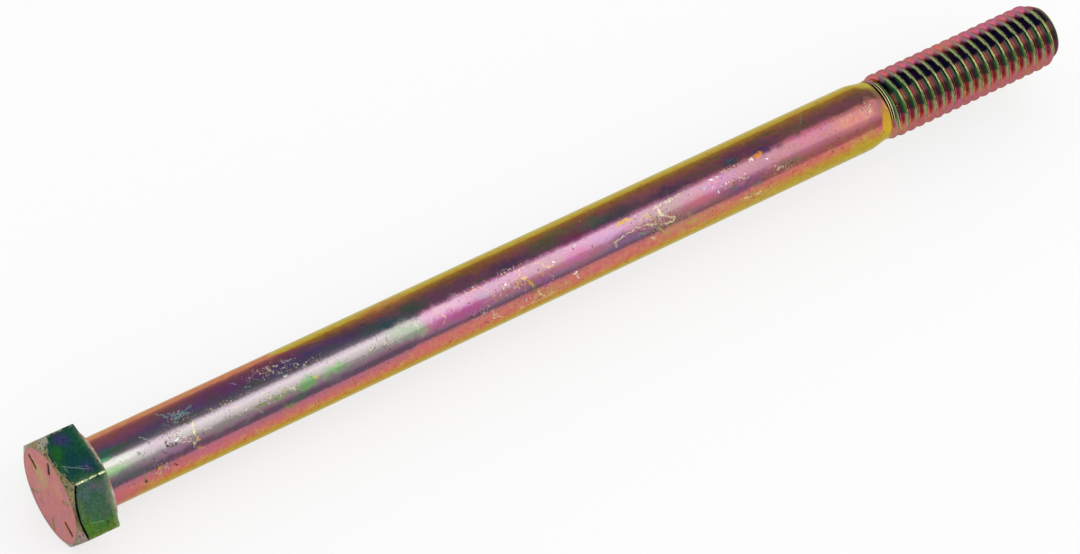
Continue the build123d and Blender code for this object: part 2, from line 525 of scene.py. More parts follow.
# Turned chamfer: a thin grey-beige and olive film, patchy where it was handled, with
# dark specks of 0.3 mm
tree, shader, spot, _, _ = new_finish("zinc_plate_on_turned_chamfer")
mottle = add(tree, "ShaderNodeTexNoise", {"Vector": spot, "Scale": 0.9, "Detail": 6.0, "Roughness": 0.7})
film = add(tree, "ShaderNodeValToRGB", {0: mottle}, stops=[
    (0.3, "4e4a34"), (0.4, "7c7048"), (0.47, "8f8444"), (0.51, "a4947c"),
    (0.55, "7c7468"), (0.62, "8c8858"), (0.7, "5e6a62"),
])
film = lay_stains_and_sheen(tree, roughened(tree, spot, 0.9, 1.6), film, 0.3, [
    (-5.5, 44, 7.2, 2, 1.6, "8a7a38", 0.8), (-5.4, 63, 7.4, 2, 1.2, "a09c94", 0.7),
    (-5.4, 112, 7.0, 2, 1.6, "6c7058", 0.4), (-5.3, 152, 7.1, 2, 2.6, "58502c", 0.7),
    (-5.2, 178, 7.4, 2, 1.2, "a8848c", 0.7),
])
speck = add(tree, "ShaderNodeTexNoise", {"Vector": spot, "Scale": 3.5, "Detail": 3.0})
speck = add(tree, "ShaderNodeMapRange", {"Value": speck, "From Min": 0.56, "From Max": 0.6})
film = tint(tree, speck, film, "24221a", 0.75)
bump = add(tree, "ShaderNodeBump", {"Height": mottle, "Strength": 0.3, "Distance": 0.0001})
feed(tree, shader, {"Base Color": film, "Roughness": 0.34, "Normal": bump})

# Forged flats: a thick green to teal film on the top flat and the near one, warmer round the
# back, with violet and blue where it is thinner and a grain of 0.4 mm. Over the film, the top
# flat is painted darker as painted shade and the near flat paler as painted reflection.
tree, shader, spot, along, turned = new_finish("zinc_plate_on_forged_flats")
cloud = add(tree, "ShaderNodeTexNoise", {"Vector": spot, "Scale": 0.5, "Detail": 5.0})
wander = add(tree, "ShaderNodeMapRange", {"Value": cloud, "To Min": -0.05, "To Max": 0.05})
shifted = add(tree, "ShaderNodeMath", {0: turned, 1: wander}, operation="ADD")
film = add(tree, "ShaderNodeValToRGB", {0: shifted}, stops=[
    (0.0, "5c6a3c"), (0.08, "6a7040"), (0.165, "1a4434"), (0.2, "1a463c"), (0.23, "184830"),
    (0.26, "164038"), (0.3, "1a403e"), (0.325, "244c34"), (0.335, "3e5a44"), (0.36, "46605a"),
    (0.38, "3a5e4a"), (0.41, "40604a"), (0.44, "466048"), (0.465, "3e6a34"), (0.495, "58702c"),
    (0.55, "8a7a44"), (0.65, "a86a60"), (0.75, "8a5a70"), (0.85, "a8935a"), (0.95, "6a8048"),
])
ragged = roughened(tree, spot, 1.1, 1.3)
film = lay_stains_and_sheen(tree, ragged, film, 0.1, [
    (-3.0, 69, 7.5, 1.4, 1.7, "3a2c62", 0.8), (-2.4, 76, 7.2, 1.0, 1.6, "24385c", 0.5),
    (-4.4, 80, 7.1, 0.9, 1.8, "205c1c", 0.8), (-4.9, 96, 7.0, 0.7, 2.4, "2c5c2c", 0.6),
    (-2.1, 108, 7.3, 1.1, 1.5, "26385c", 0.7), (-3.2, 92, 7.0, 1.4, 1.8, "0e3c40", 0.6),
    (-2.2, 113, 7.5, 0.4, 1.0, "483c5c", 0.6), (-1.2, 80, 7.2, 0.7, 2.4, "1a5434", 0.5),
    (-2.7, 127, 7.6, 1.2, 0.9, "62586c", 0.7), (-1.6, 132, 7.4, 0.8, 1.2, "645a62", 0.5),
    (-1.0, 146, 7, 0.7, 2.2, "6c6c60", 0.6), (-4.8, 148, 7.0, 0.45, 3.2, "5c7034", 0.75),
    (-4.3, 168, 7.3, 0.9, 1.8, "4c7424", 0.7), (-2.2, 174, 7.6, 1.4, 0.8, "466a24", 0.6),
    (-3.0, 162, 7.1, 1.0, 1.0, "2c6c3c", 0.5), (-1.8, 172, 7.5, 0.3, 0.5, "2a3418", 0.8),
])

# Towards the washer face the film pales, three times as much from the near flat onwards
near_flat = add(tree, "ShaderNodeMapRange", {"Value": turned, "From Min": 0.326, "From Max": 0.334})
pale = add(tree, "ShaderNodeMapRange", {"Value": along, "From Min": -1.15, "From Max": -0.6})
pale = add(tree, "ShaderNodeMath", {0: pale, 1: 0.18}, operation="MULTIPLY")
times = add(tree, "ShaderNodeMath", {0: near_flat, 1: 2.0, 2: 1.0}, operation="MULTIPLY_ADD")
pale = add(tree, "ShaderNodeMath", {0: pale, 1: times}, operation="MULTIPLY")
film = tint(tree, pale, film, "8c9870")
grain = add(tree, "ShaderNodeTexNoise", {"Vector": spot, "Scale": 2.6, "Detail": 6.0, "Roughness": 0.8})
shade = add(tree, "ShaderNodeMapRange", {
    "Value": grain, "From Min": 0.3, "From Max": 0.7, "To Min": 0.55, "To Max": 1.45,
})
film = add(tree, "ShaderNodeVectorMath", {0: film, "Scale": shade}, operation="SCALE")
crumbs = add(tree, "ShaderNodeMapRange", {"Value": grain, "From Min": 0.66, "From Max": 0.7})
film = tint(tree, crumbs, film, "9cb08c", 0.5)

# A wrench or tray has left hair scratches; the dark lines along the top flat's corner and beside the glint
# are painted shade
wavering = roughened(tree, spot, 1.4, 0.35)
for path, half_width, hex_code, strength in (
    ([
        (-4.9, -0.9, 7), (-4.3, -1.25, 7), (-3.6, -1.75, 7), (-2.7, -2.4, 7), (-2.2, -2.7, 7),
    ], 0.08, "88a094", 0.5),
    ([(-3.4, -1.7, 7), (-2.6, -2.0, 7), (-2.0, -2.2, 7)], 0.07, "7c8c98", 0.4),
    ([(-2.3, -2.1, 7), (-1.9, -2.7, 7), (-1.8, -3.3, 7)], 0.09, "644c60", 0.7),
    ([
        on_bolt(-4.2, 165, 7.25), on_bolt(-3.0, 167.5, 7.34), on_bolt(-1.8, 168.5, 7.38),
    ], 0.08, "8cb470", 0.6),
    ([on_bolt(-4.0, 168, 7.36), on_bolt(-2.8, 169.5, 7.42)], 0.06, "7ca468", 0.5),
    ([on_bolt(-4.3, 174, 7.6), on_bolt(-2.4, 175.5, 7.7)], 0.06, "8cac5c", 0.5),
    # Painted shade: dark lines along the top flat's corner, and dashes beside the glint
    ([on_bolt(-4.9, 60, 8.03), on_bolt(-2.3, 60, 8.03)], 0.2, "101410", 0.85),
    ([on_bolt(-1.9, 60, 8.03), on_bolt(-0.4, 60, 8.03), on_bolt(-0.4, 70, 7.45)], 0.2, "101410", 0.85),
    ([on_bolt(-2.0, 121.2, 7.95), on_bolt(-1.5, 121.2, 7.95)], 0.12, "0c100c", 0.85),
    ([on_bolt(-1.0, 121.5, 7.95), on_bolt(-0.7, 121.5, 7.95)], 0.12, "0c100c", 0.85),
    ([on_bolt(-4.9, 122, 7.9), on_bolt(-4.5, 112, 7.4), on_bolt(-4.7, 100, 7.1)], 0.1, "8c9c98", 0.45),
):
    film = tint(tree, line_mask(tree, wavering, path, half_width), film, hex_code, strength)

# The edges are rubbed pale in places: partly wear, partly a painted glint along them
edge_glint_and_wear = add(tree, "ShaderNodeAttribute", {}, out="Fac", attribute_name="edge_wear_and_glint")
rubbed_and_glinting = add(tree, "ShaderNodeTexNoise", {"Vector": spot, "Scale": 1.6, "Detail": 3.0})
rubbed_and_glinting = add(tree, "ShaderNodeMapRange", {"Value": rubbed_and_glinting, "From Min": 0.45, "From Max": 0.6})
rubbed_and_glinting = add(tree, "ShaderNodeMath", {0: rubbed_and_glinting, 1: edge_glint_and_wear}, operation="MULTIPLY")
film = tint(tree, rubbed_and_glinting, film, "98a080", 0.7)

# Painted shade lies where the near flat meets the chamfer, in a seam of uneven width
# just past the chamfer's cone, and runs on along the other flats as a fine dotted line
off_axis = add(tree, "ShaderNodeVectorMath", {0: spot, 1: (0, 1, 1)}, operation="MULTIPLY")
off_axis = add(tree, "ShaderNodeVectorMath", {0: off_axis}, out="Value", operation="LENGTH")
past_cone = add(tree, "ShaderNodeMath", {
    0: off_axis, 1: -CHAMFER_SLOPE, 2: HEAD_HEIGHT + TOP_FACE_RADIUS * CHAMFER_SLOPE,
}, operation="MULTIPLY_ADD")
past_cone = add(tree, "ShaderNodeMath", {0: past_cone, 1: along}, operation="ADD")
unsteady = add(tree, "ShaderNodeMapRange", {
    "Value": grain, "From Min": 0.3, "From Max": 0.7, "To Min": 0.14, "To Max": 0.42,
})
painted_shade_seam = add(tree, "ShaderNodeMath", {0: past_cone, 1: unsteady}, operation="LESS_THAN")
painted_shade_seam = add(tree, "ShaderNodeMath", {0: painted_shade_seam, 1: near_flat}, operation="MULTIPLY")
flat_end = add(tree, "ShaderNodeMapRange", {"Value": turned, "From Min": 0.498, "From Max": 0.49})
painted_shade_seam = add(tree, "ShaderNodeMath", {0: painted_shade_seam, 1: flat_end}, operation="MULTIPLY")
film = tint(tree, painted_shade_seam, film, "060806")
dotted_shade_line = add(tree, "ShaderNodeMath", {0: past_cone, 1: 0.16}, operation="LESS_THAN")
gaps = add(tree, "ShaderNodeMapRange", {"Value": grain, "From Min": 0.46, "From Max": 0.5})
dotted_shade_line = add(tree, "ShaderNodeMath", {0: dotted_shade_line, 1: gaps}, operation="MULTIPLY")
film = tint(tree, dotted_shade_line, film, "141812", 0.8)

# Past the chamfer's edge the top flat's far corner is scuffed to the chamfer's grey and beige
scuffed = add(tree, "ShaderNodeMapRange", {
    "Value": past_cone, "From Min": 0.75, "From Max": 0.55,
}, interpolation_type="SMOOTHSTEP")
corner = patch(tree, ragged, on_bolt(-4.6, 60, 8.03), 1.6, 1.5, 0.5)
scuffed = add(tree, "ShaderNodeMath", {0: scuffed, 1: corner}, operation="MULTIPLY")
film = tint(tree, scuffed, film, "a09890", 0.85)

# A painted glint runs along the edge between the top flat and the near one, in a broken line
broken = add(tree, "ShaderNodeTexNoise", {"Vector": spot, "Scale": 4.5, "Detail": 2.0})
broken = add(tree, "ShaderNodeMapRange", {"Value": broken, "From Min": 0.42, "From Max": 0.5})
for x, length, strength in ((-4.0, 1.1, 1.0), (-2.4, 0.8, 0.7), (-1.1, 0.7, 0.9)):
    glint = patch(tree, spot, on_bolt(x, 119.6, 8.03), length, 0.2, 0.4)
    glint = add(tree, "ShaderNodeMath", {0: glint, 1: broken}, operation="MULTIPLY")
    film = tint(tree, glint, film, "eef2b4", strength)
bump = add(tree, "ShaderNodeBump", {"Height": grain, "Strength": 0.35, "Distance": 0.00008})
feed(tree, shader, {"Base Color": film, "Roughness": 0.3, "Normal": bump})

# Washer face: bright, thinly coloured film, rose and grey
tree, shader, spot, _, _ = new_finish("zinc_plate_on_washer_face")
mottle = add(tree, "ShaderNodeTexNoise", {"Vector": spot, "Scale": 0.6, "Detail": 4.0})
film = add(tree, "ShaderNodeValToRGB", {0: mottle}, stops=[
    (0.35, "a7646d"), (0.5, "a08878"), (0.62, "b8b0a2"),
])
feed(tree, shader, {"Base Color": film, "Roughness": 0.28})

# Drawn body: bands of film colour along the bolt, with painted highlight and shade laid into
# them and rub marks through them. The film's grain is about 0.3 mm, and it blurs the edges of the bands.
tree, shader, spot, along, turned = new_finish("yellow_passivated_zinc_on_drawn_body")
stretched = add(tree, "ShaderNodeVectorMath", {0: spot, 1: (0.06, 0.3, 0.3)}, operation="MULTIPLY")
drift = add(tree, "ShaderNodeTexNoise", {"Vector": stretched, "Scale": 1.0, "Detail": 3.0})
wander = add(tree, "ShaderNodeMapRange", {"Value": drift, "To Min": -0.006, "To Max": 0.006})
grain = add(tree, "ShaderNodeTexNoise", {"Vector": spot, "Scale": 3.2, "Detail": 3.0, "Roughness": 0.7})
fuzz = add(tree, "ShaderNodeMapRange", {
    "Value": grain, "From Min": 0.25, "From Max": 0.75, "To Min": -0.004, "To Max": 0.004,
})
banded = add(tree, "ShaderNodeMath", {0: turned, 1: wander}, operation="ADD")
banded = add(tree, "ShaderNodeMath", {0: banded, 1: fuzz}, operation="ADD")
banded = add(tree, "ShaderNodeMath", {0: banded}, operation="FRACT")


def round_the_bolt(bands):
    """Ramp stops from bands of (angle in degrees, film)."""
    return [(angle / 360, film) for angle, film in bands]


# The body's colours at its two ends and in the middle, which share a side that faces away.
# Painted light runs round the bolt in them: painted shade from about 62 to 105 degrees, a
# painted highlight from about 107 to 140 that the lamp tops up, and painted reflections of
# the horizon at the crisp edge near 60 and the thin dark line near 147. The hidden side has
# painted shade and a painted highlight as well.
far_side = [
    (0, "honey"), (28, "gold"), (45, "straw"), (52, "gold"), (60, "ochre"), (62.5, "bronze"),
]
hidden_side = [
    (212, "straw"), (240, "apricot"), (262, "plum"), (290, "smoke"), (302, "silver"),
    (322, "mauve"), (342, "rose"),
]
head_end = add(tree, "ShaderNodeValToRGB", {0: banded}, stops=round_the_bolt([
    (0, "honey"), (28, "apricot"), (44, "salmon"), (57, "salmon"), (60, "brick"), (68, "wine"),
    (76, "plum"), (88, "violet"), (98, "slate"), (104.5, "smoke"), (107, "ash"), (109.5, "lilac"),
    (114, "pearl"), (122, "pewter"), (130, "ash"), (137, "mauve"), (143, "dusk"), (150, "dusk"),
    (154, "raspberry"), (160, "rose"), (168, "coral"), (174, "apricot"), (183, "honey"), (192, "gold"),
] + hidden_side))
middle = add(tree, "ShaderNodeValToRGB", {0: banded}, stops=round_the_bolt(far_side + [
    (72, "umber"), (82, "wine"), (94, "plum"), (100, "plum"), (104.5, "fuchsia"), (108.5, "orchid"),
    (116, "orchid"), (126, "pink"), (133, "raspberry"), (141, "mauve"), (148, "dusk"), (153, "rose"),
    (160, "coral"), (169, "coral"), (176, "apricot"), (185, "honey"), (195, "straw"),
] + hidden_side))
thread_end = add(tree, "ShaderNodeValToRGB", {0: banded}, stops=round_the_bolt(far_side + [
    (74, "umber"), (86, "wine"), (98, "wine"), (104, "rose"), (107.5, "blush"), (120, "blush"),
    (129, "raspberry"), (140, "brick"), (147, "brick"), (151, "coral"), (160, "apricot"),
    (170, "honey"), (182, "gold"),
] + hidden_side))

# The head end's colours change to the middle's at about 46 mm, 19 mm sooner on the far side,
# and these pass slowly into the thread end's. Drift shifts both changes, by 6 mm at most.
uneven = add(tree, "ShaderNodeMapRange", {"Value": drift, "To Min": -6.0, "To Max": 6.0})
uneven_along = add(tree, "ShaderNodeMath", {0: along, 1: uneven}, operation="ADD")
earlier = add(tree, "ShaderNodeMapRange", {
    "Value": turned, "From Min": 0.16, "From Max": 0.29, "To Min": 19.0, "To Max": 0.0,
})
changed = add(tree, "ShaderNodeMath", {0: uneven_along, 1: earlier}, operation="ADD")
first_change = add(tree, "ShaderNodeMapRange", {
    "Value": changed, "From Min": 45.5, "From Max": 47.5,
}, interpolation_type="SMOOTHSTEP")
second_change = add(tree, "ShaderNodeMapRange", {
    "Value": uneven_along, "From Min": 74.0, "From Max": 116.0,
}, interpolation_type="SMOOTHSTEP")
film = tint(tree, first_change, head_end, middle)
film = tint(tree, second_change, film, thread_end)

# Where the film is thicker or thinner it shows its next colours: greens, violets and straws.
# Ovals in the pale and dark bands also tune the painted highlight and shade there.
film = lay_stains_and_sheen(tree, roughened(tree, spot, 0.7, 3.0), film, 0.1, [
    (44, 58, 5.5, 1.5, "b06c4c", 0.7), (3, 140, 6, 1.2, "506460", 0.6), (4, 72, 8, 1.8, "84444c", 0.5),
    (-1, 187, 10, 2.8, "c05a78", 0.95), (8, 116, 4, 1.2, "b8a0b0", 0.5), (10, 134, 5, 1.0, "947090", 0.6),
    (6, 82, 5, 1.2, "6c3c5c", 0.5), (20, 80, 9, 2.0, "5c2c58", 0.6), (30, 90, 7, 1.8, "38305c", 0.6),
    (27, 74, 7, 1.3, "6c2c48", 0.5), (42, 96, 4.5, 1.3, "24444c", 0.8),
    (44.5, 117, 3.5, 1.5, "98a890", 0.8), (38, 84, 5, 1.5, "44244c", 0.6),
    (29.5, 131, 2.6, 1.2, "62a450", 0.9), (34, 127, 2.4, 1.2, "7ca868", 0.8),
    (25.5, 133, 2.0, 0.9, "74985c", 0.7), (28.0, 144, 3.0, 0.8, "3c6448", 0.7),
    (26.6, 152, 1.4, 0.7, "6c8c48", 0.7), (46.5, 129, 2.4, 1.3, "86a880", 0.7),
    (35, 138, 4.0, 0.9, "5c7860", 0.6), (18, 136, 5, 1.0, "7c7c70", 0.5), (36, 140, 6, 0.9, "846c84", 0.4),
    (53, 134, 7, 1.3, "a8488c", 0.7), (51, 113, 5, 1.3, "ccacb8", 0.6), (50, 125, 4, 1.1, "c07cac", 0.4),
    (57, 122, 3, 1.3, "9ca0b0", 0.4), (52, 90, 5, 1.8, "54384c", 0.6), (47, 92, 4, 1.6, "24483c", 0.8),
    (58, 76, 8, 2, "704a28", 0.5), (62, 94, 6, 1.3, "3c2c4c", 0.7), (56, 86, 4, 1.2, "5c2c54", 0.6),
    (70, 80, 5, 1.5, "5c6038", 0.6), (72, 94, 4, 1.3, "6c2448", 0.6), (68, 90, 4, 1.2, "3c4c30", 0.6),
    (76, 86, 3, 1.2, "385c3c", 0.7), (79, 94, 7, 1.3, "303c44", 0.7), (84, 80, 4, 1.3, "7c4c4c", 0.5),
    (88, 96, 5, 1.3, "3c2c50", 0.7), (97.8, 95, 2.5, 1.2, "28404c", 0.8),
    (101, 121, 4.5, 1.5, "a07884", 0.6), (103.5, 98, 4, 1.2, "2c2c5c", 0.8),
    (100, 84, 6, 1.5, "58284c", 0.6), (109, 92, 4, 1.5, "5c5030", 0.5), (67, 119, 5, 1.5, "b09494", 0.6),
    (71, 128, 4, 1.2, "c46ca0", 0.6), (79, 136, 5, 1.4, "745884", 0.7), (76, 122, 4, 1.2, "b090b8", 0.5),
    (98, 140, 6, 1.2, "6c4878", 0.7), (95, 120, 4, 1.5, "b07cac", 0.6), (87, 140, 5, 1.1, "946c50", 0.6),
    (86, 118, 8, 1.7, "a48e8a", 0.7), (91, 130, 4, 1.3, "c8647c", 0.5), (72, 140, 5, 1.1, "a46480", 0.5),
    (65, 140, 4, 1.1, "945084", 0.5), (110, 108, 6, 1.3, "cc6c98", 0.35), (117, 119, 5, 2.2, "cc8068", 0.5),
    (106, 138, 4, 1.1, "74684c", 0.6), (66, 168, 4, 1.3, "c09860", 0.6), (88, 158, 7, 1.2, "b89464", 0.5),
    (76, 162, 6, 1.2, "cc7470", 0.4), (14, 160, 9, 1.4, "c46478", 0.4), (100, 170, 5, 1.3, "bc9c50", 0.6),
    (118, 172, 4, 2.5, "b8a834", 0.6),
])

# Where the top of the body meets the head the film runs clean from green through a painted
# pale highlight to green again, and at the taper a salmon patch paints its changed reflection
film = lay_stains_and_sheen(tree, spot, film, 0.2, [
    (1.0, 96, 5.0, 1.0, "2c5c48", 0.8), (2.0, 113, 6.0, 0.75, "ccd4c4", 0.6),
    (0.5, 125, 5.0, 0.9, "84b078", 0.8), (0.3, 104.5, 2.6, 0.45, "48a468", 0.8),
    (120.6, 110, 1.2, 2.2, "d08474", 0.6),
])

# Olive clouds, drawn out along the bolt, gather in the band of painted shade
clouds = add(tree, "ShaderNodeTexNoise", {
    "Vector": stretched, "Scale": 4.0, "Detail": 4.0, "Roughness": 0.65,
})
clouds = add(tree, "ShaderNodeMapRange", {
    "Value": clouds, "From Min": 0.5, "From Max": 0.66, "To Min": 0.0, "To Max": 0.5,
}, interpolation_type="SMOOTHSTEP")
painted_shade_band = add(tree, "ShaderNodeMath", {0: turned, 1: 0.235}, operation="SUBTRACT")
painted_shade_band = add(tree, "ShaderNodeMath", {0: painted_shade_band}, operation="ABSOLUTE")
painted_shade_band = add(tree, "ShaderNodeMapRange", {
    "Value": painted_shade_band, "From Min": 0.052, "From Max": 0.035,
}, interpolation_type="SMOOTHSTEP")
clouds = add(tree, "ShaderNodeMath", {0: clouds, 1: painted_shade_band}, operation="MULTIPLY")
film = tint(tree, clouds, film, "44482c")

# The film's thickness wavers from spot to spot, which turns its hue a little either way
iridescence = add(tree, "ShaderNodeTexNoise", {
    "Vector": spot, "Scale": 0.9, "Detail": 6.0, "Roughness": 0.75,
})
hue = add(tree, "ShaderNodeMapRange", {
    "Value": iridescence, "From Min": 0.25, "From Max": 0.75, "To Min": 0.455, "To Max": 0.545,
})
value = add(tree, "ShaderNodeMapRange", {
    "Value": grain, "From Min": 0.25, "From Max": 0.75, "To Min": 0.88, "To Max": 1.12,
})
film = add(tree, "ShaderNodeHueSaturation", {
    "Hue": hue, "Saturation": 1.0, "Value": value, "Color": film,
})

# From a ring on the taper to the end of the neck the film is gold, and grey underneath. The
# ring lies 0.75 mm further on at the top of the bolt than on its near side.
ring = add(tree, "ShaderNodeMath", {0: uneven_along, 1: 0.12, 2: 106.75}, operation="MULTIPLY_ADD")
ring = add(tree, "ShaderNodeMath", {0: along, 1: ring}, operation="SUBTRACT")
later = add(tree, "ShaderNodeMapRange", {
    "Value": turned, "From Min": 0.28, "From Max": 0.4, "To Min": 0.75, "To Max": 0.0,
})
ring = add(tree, "ShaderNodeMath", {0: ring, 1: later}, operation="SUBTRACT")
ring = add(tree, "ShaderNodeMapRange", {
    "Value": ring, "From Min": -0.35, "From Max": 0.15,
}, interpolation_type="SMOOTHSTEP")
ring_film = add(tree, "ShaderNodeValToRGB", {0: banded}, stops=round_the_bolt([
    (0, "gold"), (65, "gold"), (85, "7c7440"), (100, "8c5c48"), (112, "a86c58"), (124, "b88444"),
    (136, "d0a02c"), (165, "d4b030"), (190, "gold"), (300, "silver"),
]))
film = tint(tree, ring, film, ring_film, 0.85)
film = lay_stains_and_sheen(tree, spot, film, 0.3, [(121.8, 58, 4.5, 1.6, 1.8, "bcb44c", 0.7)])

# Rub marks: curled hair lines and flecks, gathered where the bolt was knocked or handled
handled = None
for x, angle, length, width in (
    (10.8, 118, 3.4, 1.6), (12.5, 92, 3.2, 1.8), (26, 84, 5, 1.8), (31, 101, 5, 1.1), (25, 128, 6, 1.2),
    (18, 104, 7, 0.8), (7.5, 158, 2.5, 1.8), (41, 126, 5, 1.5), (60, 104, 12, 0.8),
    (61, 128, 5, 2.2), (64, 164, 8, 1.5), (56, 146, 2.5, 1.2), (83, 127, 6, 2.6), (79, 110, 2, 1.0),
    (97, 106, 6, 0.7), (96, 126, 4, 1.2), (99, 166, 3, 1.3), (119.8, 105, 1.3, 1.7), (104, 140, 4, 1.4),
    (50, 250, 12, 3), (95, 290, 14, 3), (20, 320, 8, 3), (75, 20, 10, 3),
):
    area = patch(tree, spot, on_bolt(x, angle), length, width, 0.0)
    if handled:
        area = add(tree, "ShaderNodeMath", {0: handled, 1: area}, operation="MAXIMUM")
    handled = area
hair = add(tree, "ShaderNodeTexNoise", {"Vector": spot, "Scale": 0.6, "Detail": 2.0, "Distortion": 0.8})
hair = add(tree, "ShaderNodeMath", {0: hair, 1: 0.5}, operation="SUBTRACT")
hair = add(tree, "ShaderNodeMath", {0: hair}, operation="ABSOLUTE")
hair = add(tree, "ShaderNodeMapRange", {"Value": hair, "From Min": 0.018, "From Max": 0.008})
fleck = add(tree, "ShaderNodeTexNoise", {"Vector": spot, "Scale": 2.4, "Detail": 3.0})
fleck_edge = add(tree, "ShaderNodeMapRange", {"Value": handled, "To Min": 0.74, "To Max": 0.57})
fleck = add(tree, "ShaderNodeMath", {0: fleck, 1: fleck_edge}, operation="SUBTRACT")
fleck = add(tree, "ShaderNodeMapRange", {"Value": fleck, "From Min": 0.0, "From Max": 0.04})
broken = add(tree, "ShaderNodeMapRange", {"Value": grain, "From Min": 0.4, "From Max": 0.6})
hair = add(tree, "ShaderNodeMath", {0: hair, 1: broken}, operation="MULTIPLY")
hair = add(tree, "ShaderNodeMath", {0: hair, 1: handled}, operation="MULTIPLY")
marks = add(tree, "ShaderNodeMath", {0: hair, 1: fleck}, operation="MAXIMUM")

# Specks of about 0.2 mm, dark or gold, pepper the film, thickest where it was handled
dust = add(tree, "ShaderNodeTexNoise", {"Vector": spot, "Scale": 4.2, "Detail": 2.0})
dust_edge = add(tree, "ShaderNodeMapRange", {"Value": handled, "To Min": 0.68, "To Max": 0.54})
dust = add(tree, "ShaderNodeMath", {0: dust, 1: dust_edge}, operation="SUBTRACT")
dust = add(tree, "ShaderNodeMapRange", {
    "Value": dust, "From Min": 0.0, "From Max": 0.06, "To Min": 0.0, "To Max": 0.6,
}, interpolation_type="SMOOTHSTEP")
dust_film = add(tree, "ShaderNodeValToRGB", {0: iridescence}, stops=[
    (0.3, "24402c"), (0.4, "3c2c40"), (0.47, "5c3c30"), (0.54, "34482c"), (0.6, "8c7038"),
    (0.68, "c08848"),
])
film = tint(tree, dust, film, dust_film)

# The hair lines and flecks are pale, and lie over the specks
marks_film = add(tree, "ShaderNodeValToRGB", {0: iridescence}, stops=[
    (0.3, "849890"), (0.42, "c8c4a4"), (0.5, "d0cab4"), (0.56, "c8a850"), (0.66, "c08048"),
])
film = tint(tree, marks, film, marks_film, 0.75)

